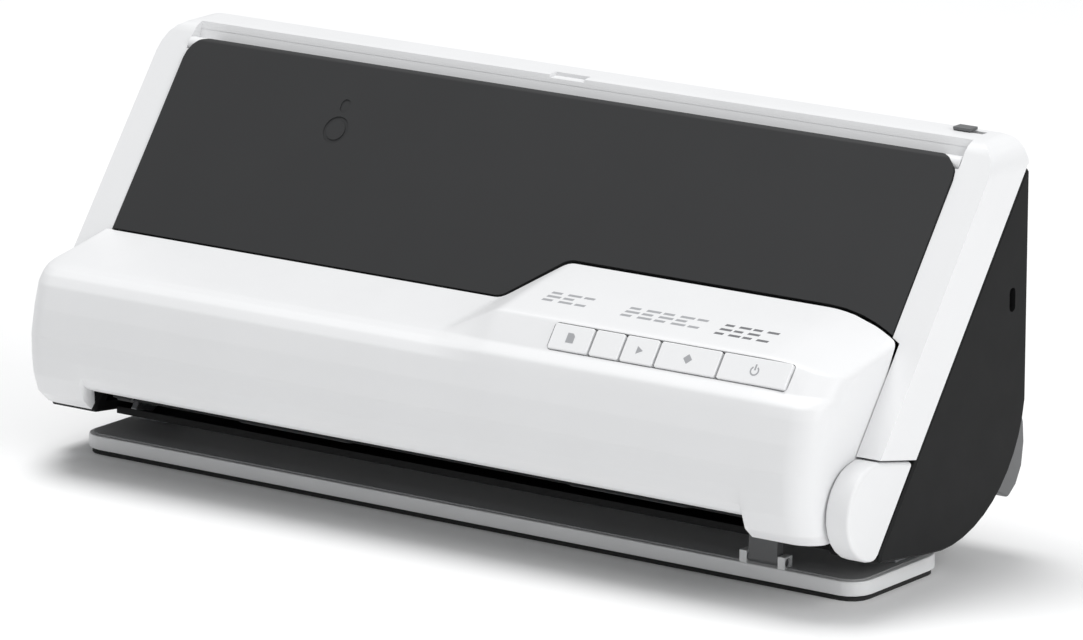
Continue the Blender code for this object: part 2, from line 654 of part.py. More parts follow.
def cover_profile(x):
    """Outer (y, z) profile of the front cover at x, from its rear edge to its lower lip."""
    w = panel_weight(x)
    low = [(4, 64.5), (-5, 63.2), (-11, 62.4), (-15, 61.8), (-18.4, 60.9), (-20.8, 59.4)]
    key_face = on_slope([(-12.0, BUTTON_FACE_H), (-21.9, BUTTON_FACE_H)])
    top = [(8, 74.7), (-9.2, 71.3)] + key_face + [(-20.6, 61.0), (-21.8, 60.0)]
    upper = blend_points(low, top, w)
    front = [(-22.9, 56.8), (-25.0, 50), (-26.6, 42), (-26.6, 36)]
    lip = [(-25.9, 31.4), (-24.3, 28.4), (-21.2, 26.8)]
    if abs(x) > 117.9:
        lip = [(-26.0, 30.0), (-24.0, 24.0), (-20.4, 20.8)]
    clear = 0.5 if abs(x) > 137 else 0.0
    profile = [slope(-0.35 + (PANEL_RISE - 0.35) * w, clear)] + upper + front + lip
    # plan rounding of the two front corners
    over = abs(x) - (COVER_HALF - COVER_CORNER)
    if over > 0:
        back = COVER_CORNER - math.sqrt(max(COVER_CORNER ** 2 - over ** 2, 0))
        fade = [0, 0.15, 0.45, 0.7, 0.85, 0.95] + [1] * 8
        profile = [(y + back * f, z) for (y, z), f in zip(profile, fade)]
    return profile


def cover_stations():
    ends = [COVER_HALF - COVER_CORNER * (1 - math.sin(math.radians(a))) for a in (0, 25, 45, 62, 78)]
    right = [24.7, 69, 114, 117.8, 118.0, 122.5] + ends
    left = [-x for x in ends[::-1]] + [-118.0, -117.8, -60, 6.5, 12, 18]
    return left + right


def make_front_cover():
    stations = cover_stations()
    bm = bmesh.new()
    outer, inner = [], []
    for i, x in enumerate(stations):
        profile = cover_profile(x)
        x_in = max(min(x, COVER_INNER_HALF), -COVER_INNER_HALF)
        outer.append([bm.verts.new(metres(x, y, z)) for y, z in profile])
        inner_profile = offset_path(cover_profile(x_in), COVER_WALL)
        inner_profile[0] = slide_to_height(inner_profile[1], inner_profile[0], 0.5)
        inner.append([bm.verts.new(metres(x_in + 0.01 * i, y, z)) for y, z in inner_profile])
    count = len(outer[0])
    for a, b in zip(range(len(stations) - 1), range(1, len(stations))):
        for k in range(count - 1):
            bm.faces.new([outer[a][k], outer[b][k], outer[b][k + 1], outer[a][k + 1]])
            bm.faces.new([inner[a][k], inner[a][k + 1], inner[b][k + 1], inner[b][k]])
        for k in (0, count - 1):
            bm.faces.new([outer[a][k], inner[a][k], inner[b][k], outer[b][k]])
    for a in (0, len(stations) - 1):
        bm.faces.new(outer[a])
        bm.faces.new(inner[a][::-1])
        bm.faces.new([outer[a][0], outer[a][-1], inner[a][-1], inner[a][0]])
    cover = piece("front_cover", bm, "white_shell", origin=(0, *COVER_HINGE))
    for side in (-1, 1):
        ear = arc(COVER_HINGE, 7.5, -130, 60, 8) + [(-6, 40), (-17, 42), (-17, 27)]
        join(cover, lambda bm, s=side, o=ear: prism(bm, o, *mirror_span(s, 138.2, COVER_HALF)))
        hole = [(x * side, r) for x, r in ((135, 0), (135, 2.95), (143, 2.95), (143, 0))]
        cut(cover, lambda bm, h=hole: lathe(bm, COVER_HINGE, h, 16))

    def key_holes(bm):
        for x0, x1 in zip(BUTTON_EDGES, BUTTON_EDGES[1:]):
            prism(bm, slope_box(BUTTON_S[0], BUTTON_S[1], 18, 27), x0 + 0.2, x1 - 0.2)
    cut(cover, key_holes)


def make_buttons():
    for i, (x0, x1) in enumerate(zip(BUTTON_EDGES, BUTTON_EDGES[1:])):
        low, high = BUTTON_S
        key = simple("panel_button_%d" % (i + 1), "white_shell",
                     slope_box(low + GAP, high - GAP, 18.9, BUTTON_FACE_H + 0.4), x0 + 0.55, x1 - 0.55,
                     origin=((x0 + x1) / 2, *slope((low + high) / 2, BUTTON_FACE_H)))
        soften(key, 0.35, segments=1)


def make_cover_insides():
    guide = simple("cover_inner_guide", "inner_black", slope_box(-37.0, -8.2, -12.5, -11.3), -115.3, 115.3)

    def windows(bm):
        prism(bm, slope_box(-35.4, -24.6, -16, -8), -112, 112)
        prism(bm, slope_box(-11.6, 0, -16, -8), -26, 26)
        for side in (-1, 1):
            prism(bm, slope_box(-23.0, -15.0, -16, -8), *mirror_span(side, 38, 82))
    cut(guide, windows)
    cheek = [(-8.2, -12.5), (-8.2, -4.0), (-24, 12), (-42, 10), (-45, -7), (-43.2, -11.6), (-37.0, -12.5)]
    for side in (-1, 1):
        join(guide, lambda bm, s=side: prism(bm, on_slope(cheek), *mirror_span(s, 113.3, 115.3)))

    def axle_holes(bm):
        for centre in (SEPARATION, PINCH_TOP, PINCH_LOW):
            lathe(bm, slope(*centre), [(-118, 0), (-118, 1.85), (118, 1.85), (118, 0)], 12)
    cut(guide, axle_holes)
    short = [(-24, -6), (6, 24)]
    long = [(-80, -40), (40, 80)]
    rollers = (("separation_roller", SEPARATION, SEPARATION_R, short),
               ("upper_pinch_roller", PINCH_TOP, PINCH_R, long),
               ("lower_pinch_roller", PINCH_LOW, PINCH_R, long))
    for name, centre, radius, spans in rollers:
        profile = [(-115.0, 0), (-115.0, 1.5)]
        for x0, x1 in spans:
            profile += [(x0, 1.5), (x0, radius), (x1, radius), (x1, 1.5)]
        profile += [(115.0, 1.5), (115.0, 0)]
        turned(name, "rubber", slope(*centre), profile, 16)
    simple("panel_board", "board_green", slope_box(-23, -12, 16.2, 17.8), 42, 124)


def make_release_slider():
    bm = bmesh.new()
    prism(bm, box_outline(64.6, 68.4, 122.3, 123.2), 127.4, 133.4)
    slider = piece("cover_release_slider", bm, "lever_grey")
    join(slider, lambda bm: prism(bm, box_outline(65.6, 67.4, 118.2, 122.6), 127.6, 131.6))
    join(slider, lambda bm: prism(bm, box_outline(64.2, 68.4, 118.0, 119.2), 126.6, 132.6))


def main():
    for old in list(bpy.data.objects):
        bpy.data.objects.remove(old, do_unlink=True)
    make_stand_plate()
    make_base_ring()
    make_position_lever()
    for side, word in ((-1, "left"), (1, "right")):
        make_tilt_bracket(side, word)
        make_tilt_pin(side, word)
        make_side_panel(side, word)
        make_hinge_cap(side, word)
        make_side_frame(side, word)
        make_edge_guide(side, word)
    make_rear_housing()
    make_upper_frame()
    make_rear_rest_bar()
    make_paper_support()
    make_rear_guide()
    make_sensor("rear", -13.9, -22.5)
    make_sensor("front", -12.5, -3.0)
    make_drive()
    make_electronics()
    make_guide_pinion()
    make_tray()
    make_front_cover()
    make_buttons()
    make_cover_insides()
    make_release_slider()


main()
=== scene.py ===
"""Looks of the sheet fed document scanner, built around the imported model.

Lengths are millimetres and become metres in metres(). x runs along the feed width, y backwards
from the stand's front edge and z up. On the tray's slope, s runs up it and h stands out of it.
Lamps and the camera are placed in metres of the frame.
"""
import json
import math

import bmesh
import bpy
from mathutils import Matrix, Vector


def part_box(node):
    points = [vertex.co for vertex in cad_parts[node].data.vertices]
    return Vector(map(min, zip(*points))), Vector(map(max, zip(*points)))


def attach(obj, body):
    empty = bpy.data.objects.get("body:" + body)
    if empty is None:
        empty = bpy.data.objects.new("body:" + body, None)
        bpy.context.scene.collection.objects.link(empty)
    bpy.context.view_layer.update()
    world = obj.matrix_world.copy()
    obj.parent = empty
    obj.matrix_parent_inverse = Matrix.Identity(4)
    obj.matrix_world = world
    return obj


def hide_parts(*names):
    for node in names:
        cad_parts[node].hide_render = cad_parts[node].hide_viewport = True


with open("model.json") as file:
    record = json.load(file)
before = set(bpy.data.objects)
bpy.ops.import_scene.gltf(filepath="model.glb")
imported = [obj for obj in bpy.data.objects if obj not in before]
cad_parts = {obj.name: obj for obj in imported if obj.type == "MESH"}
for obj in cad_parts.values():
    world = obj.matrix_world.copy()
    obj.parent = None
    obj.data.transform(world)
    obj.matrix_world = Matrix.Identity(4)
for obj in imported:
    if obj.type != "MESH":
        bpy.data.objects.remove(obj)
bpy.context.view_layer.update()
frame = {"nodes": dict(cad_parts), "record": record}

NODE_BODY = {n: body for body, nodes in frame["record"]["behaviour"]["bodies"].items() for n in nodes}
NODE_SLOT = {row["node"]: row["material_slot"] for row in frame["record"]["subparts"]}

MM = 0.001
SHARP_ANGLE = math.radians(32)
WELD = 0.002                  # CAD corners closer than this are one corner
FLAT_ANGLE = math.radians(0.4)
ROUNDED_ANGLE = 35            # degrees from which a CAD edge gets its rounding
FRONT_EDGE_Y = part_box("stand_plate")[0].y
SLOPE = math.radians(53.41)
SLOPE_FOOT = (13.96, 66.13)
COVER_HALF = 140.5
PLAN_CORNER = 9.0             # rounding of the cover's front corners, seen from above
END_ROUND = 1.5               # rounding of the cover's top and lip at both ends
CREASE = 2.6                  # rounding of the cover's long edges
CREASE_STEPS = 4
SHORTEST_REACH = 0.6          # keeps the points of an almost straight corner apart
LONGEST_SHARE = 0.47          # of a side, that the rounding of one corner may use up
MITRE_LIMIT = 0.3
WALL = 2.2
PANEL_RISE = 14.5
RAMP = (6.5, 24.7)            # x where the cover starts and ends its climb to the raised panel
RAMP_EASE = 2.2               # length of the soft bend at both ends of that climb
RAMP_SOFT = 0.12              # and the share of the climb that each bend takes up
PANEL_FALL = 114              # x from which the panel falls away towards the cover's right end
FALL_RUN = 24                 # after which this share of the panel's rise is lost
FALL_SHARE = 0.42
BUTTON_EDGES = (45.3, 59.8, 70.4, 82.2, 103.4, 127.4)
BUTTON_FACE_H = 23.75
BUTTON_S = (-21.4, -12.7)
KEY_LIFT = 0.4                # how far the keys stand out of their face
HINGE = (-4.5, 29.0)
EAR_RADIUS = 7.5
EAR_BORE = 2.95
STAND_TOP = 6.0
STAND_RIM = 1.6
PANEL_REAR = (8.0, 74.7)      # rear and front edge of the raised panel's top
PANEL_FRONT = (-9.2, 71.3)
LIP_STEP = 117.9              # the cover's lip is lower outside the paper exit
TRAY_PIVOT = (63.4, -2.2)     # (s, h) of the tray's hinge line
TRAY_SIGN = (-73, 42.5)       # (x, s) of the round sign in the tray
FLOOR_HALF = 3000


# ---- frames and outlines ----
def metres(x, y, z):
    """A point of the script in the frame, in metres."""
    return Vector((x * MM, y * MM + FRONT_EDGE_Y, z * MM))


def slope(s, h):
    """Point (y, z) at s up the slope and h in front of it."""
    y = SLOPE_FOOT[0] + s * math.cos(SLOPE) - h * math.sin(SLOPE)
    z = SLOPE_FOOT[1] + s * math.sin(SLOPE) + h * math.cos(SLOPE)
    return (y, z)


def height(point):
    """h of a (y, z) point."""
    return (SLOPE_FOOT[0] - point[0]) * math.sin(SLOPE) + (point[1] - SLOPE_FOOT[1]) * math.cos(SLOPE)


def mix(a, b, t):
    return (a[0] + (b[0] - a[0]) * t, a[1] + (b[1] - a[1]) * t)


def slide_to_height(a, b, h):
    """The point at height h on the line through a and b."""
    return mix(a, b, (h - height(a)) / (height(b) - height(a)))


def arc(centre, radius, start, end, steps):
    angles = [math.radians(start + (end - start) * i / steps) for i in range(steps + 1)]
    return [(centre[0] + radius * math.cos(a), centre[1] + radius * math.sin(a)) for a in angles]


def rounded_box(a0, a1, b0, b1, r, steps=5):
    """Box outline with round corners, counterclockwise from its corner at a1, b1."""
    centres = [(a1 - r, b1 - r), (a0 + r, b1 - r), (a0 + r, b0 + r), (a1 - r, b0 + r)]
    points = []
    for i, centre in enumerate(centres):
        points += arc(centre, r, 90 * i, 90 * i + 90, steps)
    return points


def fillet(points, radius, steps):
    """The open path with each inner corner rounded; every corner becomes steps + 1 points."""
    path = [points[0]]
    for before, corner, after in zip(points, points[1:], points[2:]):
        d0 = Vector(before) - Vector(corner)
        d1 = Vector(after) - Vector(corner)
        turn = math.pi - d0.angle(d1)
        wanted = max(radius * math.tan(turn / 2), SHORTEST_REACH)
        reach = min(wanted, LONGEST_SHARE * d0.length, LONGEST_SHARE * d1.length)
        start = mix(corner, before, reach / d0.length)
        end = mix(corner, after, reach / d1.length)
        for i in range(steps + 1):
            t = i / steps
            path.append(mix(mix(start, corner, t), mix(corner, end, t), t))
    path.append(points[-1])
    return path


def offset_path(points, distance):
    """The open path moved to the left of its direction, with mitred corners."""
    moved = []
    for i, point in enumerate(points):
        before, after = points[max(i - 1, 0)], points[min(i + 1, len(points) - 1)]
        d0 = Vector(point) - Vector(before)
        d1 = Vector(after) - Vector(point)
        d0 = d0.normalized() if d0.length else d1.normalized()
        d1 = d1.normalized() if d1.length else d0
        mitre = (Vector((-d0.y, d0.x)) + Vector((-d1.y, d1.x))).normalized()
        reach = distance / max(mitre.dot(Vector((-d0.y, d0.x))), MITRE_LIMIT)
        moved.append((point[0] + mitre.x * reach, point[1] + mitre.y * reach))
    return moved


# ---- materials ----
def new_material(name, colour, roughness, metallic=0.0):
    mat = bpy.data.materials.new(name)
    mat.use_nodes = True
    shader = mat.node_tree.nodes["Principled BSDF"]
    shader.inputs["Base Color"].default_value = (*colour, 1)
    shader.inputs["Roughness"].default_value = roughness
    shader.inputs["Metallic"].default_value = metallic
    return mat, shader


def add_node(mat, kind, **values):
    """A shader node with its inputs set; an underscore in a name stands for a space."""
    node = mat.node_tree.nodes.new(kind)
    for key, value in values.items():
        node.inputs[key.replace("_", " ")].default_value = value
    return node


def position(mat, stretch=(1, 1, 1)):
    """The point on the piece, in metres, stretched along x, y and z."""
    links = mat.node_tree.links
    where = add_node(mat, "ShaderNodeTexCoord")
    scaled = add_node(mat, "ShaderNodeMapping", Scale=stretch)
    links.new(where.outputs["Object"], scaled.inputs["Vector"])
    return scaled.outputs["Vector"]


def noise(mat, size_mm, detail=2.0, stretch=(1, 1, 1)):
    """Noise with features of about size_mm."""
    texture = add_node(mat, "ShaderNodeTexNoise", Scale=1 / (size_mm * MM), Detail=detail, Roughness=0.55)
    mat.node_tree.links.new(position(mat, stretch), texture.inputs["Vector"])
    return texture.outputs["Fac"]


def spread(mat, source, low, high):
    """source from 0.3 to 0.7 mapped to low to high."""
    mapping = add_node(mat, "ShaderNodeMapRange", From_Min=0.3, From_Max=0.7, To_Min=low, To_Max=high)
    mat.node_tree.links.new(source, mapping.inputs["Value"])
    return mapping.outputs["Result"]


def vary_colour(mat, shader, source, dark, light):
    """Base colour that wanders between dark and light."""
    ramp = add_node(mat, "ShaderNodeValToRGB")
    ramp.color_ramp.elements[0].position = 0.3
    ramp.color_ramp.elements[0].color = (*dark, 1)
    ramp.color_ramp.elements[1].position = 0.7
    ramp.color_ramp.elements[1].color = (*light, 1)
    mat.node_tree.links.new(source, ramp.inputs["Fac"])
    mat.node_tree.links.new(ramp.outputs["Color"], shader.inputs["Base Color"])


def add_bumps(mat, shader, layers):
    """Bump layers of (height source, depth in millimetres), one on another."""
    normal = None
    for source, depth_mm in layers:
        bump = add_node(mat, "ShaderNodeBump", Strength=1.0, Distance=depth_mm * MM)
        mat.node_tree.links.new(source, bump.inputs["Height"])
        if normal:
            mat.node_tree.links.new(normal, bump.inputs["Normal"])
        normal = bump.outputs["Normal"]
    mat.node_tree.links.new(normal, shader.inputs["Normal"])


def moulded(name, colour, roughness, grain_mm=0.35, depth_mm=0.004, tint=0.03, spec=0.5):
    """Injection moulded plastic with an eroded grain, faint flow marks and handling gloss."""
    mat, shader = new_material(name, colour, roughness)
    shader.inputs["Specular IOR Level"].default_value = spec
    clouds = noise(mat, size_mm=28, detail=3)
    dark = tuple(c * (1 - tint) for c in colour)
    light = tuple(min(c * (1 + tint), 0.95) for c in colour)
    vary_colour(mat, shader, clouds, dark, light)
    smears = spread(mat, noise(mat, size_mm=9, detail=4), roughness - 0.02, roughness + 0.02)
    mat.node_tree.links.new(smears, shader.inputs["Roughness"])
    grain = noise(mat, grain_mm, detail=3)
    sink = noise(mat, size_mm=40, detail=0)
    add_bumps(mat, shader, [(grain, depth_mm), (sink, 0.01)])
    return mat


def brushed_steel():
    """Ground shafts, with their brushing along x."""
    mat, shader = new_material("steel", (0.56, 0.57, 0.59), 0.34, metallic=1.0)
    brushing = noise(mat, size_mm=0.25, detail=4, stretch=(0.04, 1, 1))
    vary_colour(mat, shader, brushing, (0.48, 0.49, 0.51), (0.62, 0.63, 0.65))
    mat.node_tree.links.new(spread(mat, brushing, 0.26, 0.42), shader.inputs["Roughness"])
    add_bumps(mat, shader, [(brushing, 0.004)])
    return mat


def rubber(name, colour, roughness):
    """Ground rubber: matt, with fine dust and a rough grain."""
    mat, shader = new_material(name, colour, roughness)
    dust = noise(mat, size_mm=5, detail=5)
    vary_colour(mat, shader, dust, tuple(c * 0.8 for c in colour), tuple(c * 1.35 for c in colour))
    mat.node_tree.links.new(spread(mat, dust, roughness - 0.08, roughness + 0.05), shader.inputs["Roughness"])
    add_bumps(mat, shader, [(noise(mat, size_mm=0.3, detail=4), 0.02)])
    return mat


def circuit_board():
    """Green solder mask over raised copper tracks."""
    mat, shader = new_material("board", (0.02, 0.13, 0.05), 0.42)
    tracks = add_node(mat, "ShaderNodeTexBrick", Scale=220.0, Mortar_Size=0.06, Mortar_Smooth=0.1)
    tracks.inputs["Color1"].default_value = (0.012, 0.10, 0.035, 1)
    tracks.inputs["Color2"].default_value = (0.016, 0.12, 0.045, 1)
    tracks.inputs["Mortar"].default_value = (0.05, 0.24, 0.09, 1)
    mat.node_tree.links.new(position(mat, (1, 1, 0.7)), tracks.inputs["Vector"])
    mat.node_tree.links.new(tracks.outputs["Color"], shader.inputs["Base Color"])
    mat.node_tree.links.new(spread(mat, noise(mat, size_mm=6), 0.36, 0.5), shader.inputs["Roughness"])
    add_bumps(mat, shader, [(tracks.outputs["Fac"], 0.03)])
    return mat


def sensor_glass():
    """Cover glass of the image sensors, with faint wipe marks."""
    mat, shader = new_material("sensor_glass", (0.62, 0.7, 0.7), 0.06)
    shader.inputs["Transmission Weight"].default_value = 0.75
    shader.inputs["IOR"].default_value = 1.5
    wiped = spread(mat, noise(mat, size_mm=4, detail=5), 0.03, 0.1)
    mat.node_tree.links.new(wiped, shader.inputs["Roughness"])
    return mat


def make_materials():
    return {
        "white_shell": moulded("white_shell", (0.79, 0.793, 0.80), 0.44, tint=0.008),
        "key_white": moulded("key_white", (0.83, 0.833, 0.84), 0.36, grain_mm=0.25, tint=0.008),
        "dark_shell": moulded("dark_shell", (0.010, 0.0102, 0.0105), 0.58, 0.45, 0.012, tint=0.03, spec=0.15),
        "tray_grey": moulded("tray_grey", (0.0335, 0.034, 0.035), 0.56, 0.4, 0.008, tint=0.02, spec=0.2),
        "stand_grey": moulded("stand_grey", (0.80, 0.805, 0.81), 0.34, tint=0.02),
        # the stand's top is painted a darker grey than its rim: painted shade from the body overhanging it
        "stand_painted_shade": moulded("stand_painted_shade", (0.46, 0.464, 0.47), 0.5, tint=0.02),
        "lever_grey": moulded("lever_grey", (0.13, 0.132, 0.135), 0.5, depth_mm=0.008, tint=0.05),
        "inner_black": moulded("inner_black", (0.014, 0.0142, 0.015), 0.5, depth_mm=0.01, tint=0.1, spec=0.3),
        "gear_black": moulded("gear_black", (0.018, 0.018, 0.019), 0.4, 0.6, 0.002, tint=0.05),
        "base_rubber": rubber("base_rubber", (0.014, 0.014, 0.014), 0.85),
        "roller_rubber": rubber("roller_rubber", (0.055, 0.056, 0.06), 0.8),
        "steel": brushed_steel(),
        "board": circuit_board(),
        "sensor_glass": sensor_glass(),
        "print_grey": moulded("print_grey", (0.36, 0.365, 0.38), 0.6, tint=0.04),
        "print_dark": moulded("print_dark", (0.16, 0.162, 0.17), 0.6, tint=0.04),
        "floor": moulded("floor", (0.95, 0.95, 0.95), 0.8, tint=0.002),
    }


# ---- meshes ----
def piece(name, bm, mat, body, flat_faces=True):
    """A named piece made from bm, shaded smooth except at sharp edges, riding on its body."""
    bmesh.ops.recalc_face_normals(bm, faces=bm.faces)
    mesh = bpy.data.meshes.new(name)
    bm.to_mesh(mesh)
    bm.free()
    mesh.shade_smooth()
    mesh.set_sharp_from_angle(angle=SHARP_ANGLE)
    obj = bpy.data.objects.new(name, mesh)
    bpy.context.scene.collection.objects.link(obj)
    mesh.materials.append(MATERIALS[mat])
    if flat_faces:
        obj.modifiers.new("flat_faces", "WEIGHTED_NORMAL").keep_sharp = True
    if body:
        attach(obj, body)
    return obj


def extrude(bm, face, step):
    """The face grown into a solid by the step vector."""
    grown = bmesh.ops.extrude_face_region(bm, geom=[face])
    verts = [item for item in grown["geom"] if isinstance(item, bmesh.types.BMVert)]
    bmesh.ops.translate(bm, verts=verts, vec=step)


def prism(bm, outline, x0, x1):
    """A (y, z) outline extruded from x0 to x1."""
    face = bm.faces.new([bm.verts.new(metres(x0, y, z)) for y, z in outline])
    extrude(bm, face, Vector(((x1 - x0) * MM, 0, 0)))


def slope_slab(bm, outline, h0, h1):
    """An (x, s) outline extruded across the slope from h0 to h1."""
    face = bm.faces.new([bm.verts.new(metres(x, *slope(s, h0))) for x, s in outline])
    extrude(bm, face, metres(0, *slope(0, h1)) - metres(0, *slope(0, h0)))


def round_edges(bm, width_mm, segments, angle, chosen=None):
    """Edges sharper than angle, in degrees, rounded; chosen can narrow them down."""
    edges = [e for e in bm.edges if e.is_manifold and e.calc_face_angle(0) > math.radians(angle)]
    if chosen:
        edges = [e for e in edges if chosen(e)]
    bmesh.ops.bevel(bm, geom=edges, offset=width_mm * MM, segments=segments, profile=0.5,
                    affect="EDGES", clamp_overlap=True)


def cut(obj, cutter_bm):
    """The solid in cutter_bm taken out of obj, with the result written into obj's mesh."""
    bmesh.ops.recalc_face_normals(cutter_bm, faces=cutter_bm.faces)
    cutter_mesh = bpy.data.meshes.new("cutter")
    cutter_bm.to_mesh(cutter_mesh)
    cutter_bm.free()
    cutter = bpy.data.objects.new("cutter", cutter_mesh)
    bpy.context.scene.collection.objects.link(cutter)
    mod = obj.modifiers.new("boolean", "BOOLEAN")
    mod.operation = "DIFFERENCE"
    mod.solver = "EXACT"
    mod.object = cutter
    bpy.context.view_layer.update()
    result = bpy.data.meshes.new_from_object(obj.evaluated_get(bpy.context.evaluated_depsgraph_get()))
    obj.modifiers.remove(mod)
    obj.data = result
    bpy.data.objects.remove(cutter)
    obj.data.set_sharp_from_angle(angle=SHARP_ANGLE)


def cad_copy(node):
    """The node's mesh with its facets merged into whole faces."""
    bm = bmesh.new()
    bm.from_mesh(frame["nodes"][node].data)
    bmesh.ops.remove_doubles(bm, verts=bm.verts, dist=WELD * MM)
    bmesh.ops.dissolve_limit(bm, angle_limit=FLAT_ANGLE, verts=bm.verts, edges=bm.edges)
    return bm


def refined(node, width_mm, segments):
    """A CAD node carried over with rounded edges and smooth shading."""
    bm = cad_copy(node)
    round_edges(bm, width_mm, segments, ROUNDED_ANGLE)
    obj = piece(node + "_finished", bm, NODE_SLOT[node], NODE_BODY[node])
    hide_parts(node)


# ---- front cover ----
def panel_weight(x):
    """How much of the raised control panel is present at x, with soft corners on its ramp."""
    if x >= PANEL_FALL:
        return 1 - FALL_SHARE * ((x - PANEL_FALL) / FALL_RUN) ** 2
    start, end = RAMP
    t = min(max((x - start) / (end - start), 0.0), 1.0)
    if 0 < t < 1:
        away = min(t, 1 - t) / RAMP_SOFT
    else:
        away = min(abs(x - start), abs(x - end)) / RAMP_EASE
    lift = 0.25 * RAMP_SOFT * max(0.0, 1 - away) ** 2
    return t + lift if t < 0.5 else t - lift


def cover_profile(x, crease=CREASE):
    """Outer (y, z) profile of the front cover at x, from its rear edge to its lower lip."""
    w = panel_weight(x)
    low = [(4, 64.5), (-5, 63.2), (-11, 62.4), (-15, 61.8), (-18.4, 60.9), (-20.8, 59.4)]
    key_face = [slope(-12.0, BUTTON_FACE_H), slope(-21.9, BUTTON_FACE_H)]
    top = [PANEL_REAR, PANEL_FRONT] + key_face + [(-20.6, 61.0), (-21.8, 60.0)]
    upper = [mix(a, b, w) for a, b in zip(low, top)]
    front = [(-22.9, 56.8), (-25.0, 50), (-26.6, 42), (-26.6, 36)]
    end = min(max((abs(x) - LIP_STEP + 0.3) / 0.6, 0.0), 1.0)
    lip_middle = [(-25.9, 31.4), (-24.3, 28.4), (-21.2, 26.8)]
    lip_end = [(-26.0, 30.0), (-24.0, 24.0), (-20.4, 20.8)]
    lip = [mix(a, b, end) for a, b in zip(lip_middle, lip_end)]
    clear = 0.5 if abs(x) > 137 else 0.15   # higher over the rim than over the tray
    rear = slope(-0.35 + (PANEL_RISE - 0.35) * w, clear)
    profile = [rear] + upper + front + lip
    over = abs(x) - (COVER_HALF - PLAN_CORNER)
    if over > 0:
        # the rear edge stays where it is, the front goes round the corner
        back = PLAN_CORNER - math.sqrt(max(PLAN_CORNER ** 2 - over ** 2, 0))
        fade = [0, 0.15, 0.45, 0.7, 0.85, 0.95] + [1] * 8
        profile = [(y + back * f, z) for (y, z), f in zip(profile, fade)]
    over = abs(x) - (COVER_HALF - END_ROUND)
    if over > 0:
        shrink = END_ROUND - math.sqrt(max(END_ROUND ** 2 - over ** 2, 0))
        profile = offset_path(profile, shrink)
        profile[0] = slide_to_height(profile[1], profile[0], clear)
    return fillet(profile, crease, CREASE_STEPS) if crease else profile


def cover_stations():
    """Each x at which the cover has a profile, close together where it bends."""
    ends = [COVER_HALF - PLAN_CORNER * (1 - math.sin(math.radians(a))) for a in range(0, 91, 6)]
    lip_step = [LIP_STEP - 0.4, LIP_STEP, LIP_STEP + 0.4]
    ramp = [RAMP[0] - RAMP_EASE + 1.13 * i for i in range(21)]
    left = [-x for x in ends[::-1]] + [-122.5] + [-x for x in lip_step[::-1]] + [-100, -60, -20]
    right = [40, 60, 80, 100, 110, 113, 115.2] + lip_step + [121, 124]
    return left + ramp + right + ends


def cover_inner_x(x):
    """Where the inside of the wall lies for the station x of the outside."""
    turn = COVER_HALF - PLAN_CORNER
    if abs(x) <= turn:
        return x
    inside = turn + (abs(x) - turn) * (PLAN_CORNER - WALL - 0.6) / PLAN_CORNER
    return math.copysign(inside, x)


def cover_rings(bm):
    """Outer and inner profile of the cover's wall at each station."""
    outer, inner = [], []
    for x in cover_stations():
        outer.append([bm.verts.new(metres(x, y, z)) for y, z in cover_profile(x)])
        x_in = cover_inner_x(x)
        inner_profile = offset_path(cover_profile(x_in, crease=0), WALL)
        inner_profile[0] = slide_to_height(inner_profile[1], inner_profile[0], 0.5)
        inner.append([bm.verts.new(metres(x_in, y, z)) for y, z in inner_profile])
    return outer, inner


def make_front_cover():
    bm = bmesh.new()
    outer, inner = cover_rings(bm)
    for a in range(len(outer) - 1):
        b = a + 1
        for k in range(len(outer[a]) - 1):
            bm.faces.new([outer[a][k], outer[b][k], outer[b][k + 1], outer[a][k + 1]])
        for k in range(len(inner[a]) - 1):
            bm.faces.new([inner[a][k], inner[a][k + 1], inner[b][k + 1], inner[b][k]])
        for k in (0, -1):
            bm.faces.new([outer[a][k], inner[a][k], inner[b][k], outer[b][k]])
    for a in (0, -1):
        bm.faces.new(outer[a])
        bm.faces.new(inner[a][::-1])
        bm.faces.new([outer[a][0], outer[a][-1], inner[a][-1], inner[a][0]])
    cover = piece("front_cover_moulding", bm, "white_shell", "front_cover_unit", flat_faces=False)
    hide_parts("front_cover")

    keys = bmesh.new()
    low, high = BUTTON_S
    window = rounded_box(BUTTON_EDGES[0] + 0.2, BUTTON_EDGES[-1] - 0.2, low, high, 1.4)
    slope_slab(keys, window, 18, 27)
    cut(cover, keys)
    for side, word in ((-1, "left"), (1, "right")):
        make_cover_ear(side, word)


def make_cover_ear(side, word):
    """Bearing ear that carries the cover on the hinge cap's stub."""
    outline = arc(HINGE, EAR_RADIUS, -130, 60, 16) + [(-6, 40), (-17, 42), (-17, 27)]
    bm = bmesh.new()
    x0, x1 = sorted((137.9 * side, (COVER_HALF - 0.1) * side))
    prism(bm, outline, x0, x1)
    round_edges(bm, 0.3, 2, 40)
    ear = piece("front_cover_ear_" + word, bm, "white_shell", "front_cover_unit")
    hole = bmesh.new()
    prism(hole, arc(HINGE, EAR_BORE, 0, 345, 23), 130 * side, 145 * side)
    cut(ear, hole)


# ---- keys and printing ----
def make_keys():
    """Five key caps with a narrow gap all round."""
    low, high = BUTTON_S
    last = len(BUTTON_EDGES) - 2
    for i, (x0, x1) in enumerate(zip(BUTTON_EDGES, BUTTON_EDGES[1:])):
        bm = bmesh.new()
        gap0 = 0.55 if i == 0 else 0.4
        gap1 = 0.55 if i == last else 0.4
        outline = rounded_box(x0 + gap0, x1 - gap1, low + 0.35, high - 0.35, 0.7)
        slope_slab(bm, outline, 18.9, BUTTON_FACE_H + KEY_LIFT)
        round_edges(bm, 0.35, 3, 50)
        name = "panel_button_%d" % (i + 1)
        key = piece(name + "_cap", bm, "key_white", "button_%d" % (i + 1))
        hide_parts(name)
        make_key_sign(i, (x0 + x1) / 2, (low + high) / 2)


